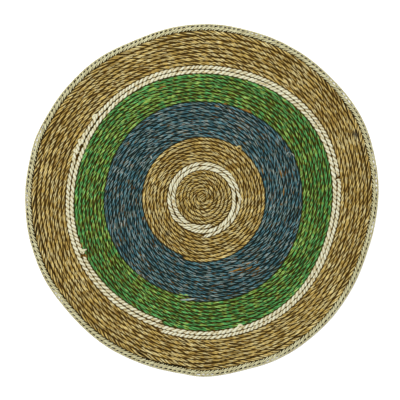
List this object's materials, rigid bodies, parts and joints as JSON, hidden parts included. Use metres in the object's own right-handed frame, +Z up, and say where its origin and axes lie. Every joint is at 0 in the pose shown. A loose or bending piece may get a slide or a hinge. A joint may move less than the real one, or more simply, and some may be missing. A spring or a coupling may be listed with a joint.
{
  "type": "round placemat",
  "caption": "Round placemat wound from a long twisted plant-fibre cord in natural, cream, blue and green bands, with a pale stitched binding round its rim.",
  "frame": {"origin": "centre of the outline's bounding box, on the flat underside", "axes": "+Z up out of the ribbed face, +Y towards the top of the picture"},
  "size_m": [0.3824, 0.3784, 0.0044],
  "materials": {
    "natural_cord": "dry golden-brown twisted plant fibre",
    "cream_cord": "bleached twisted plant fibre",
    "blue_cord": "blue-dyed twisted plant fibre with undyed flecks",
    "green_cord": "green-dyed twisted plant fibre with undyed flecks",
    "edge_binding": "pale grey-green stitched cotton"
  },
  "bodies": {
    "root": {"centre_coil": "natural_cord", "inner_cream_ring": "cream_cord", "inner_natural_ring": "natural_cord", "blue_ring": "blue_cord", "green_ring": "green_cord", "outer_cream_ring": "cream_cord", "outer_natural_ring": "natural_cord", "edge_binding": "edge_binding"}
  },
  "joints": []
}
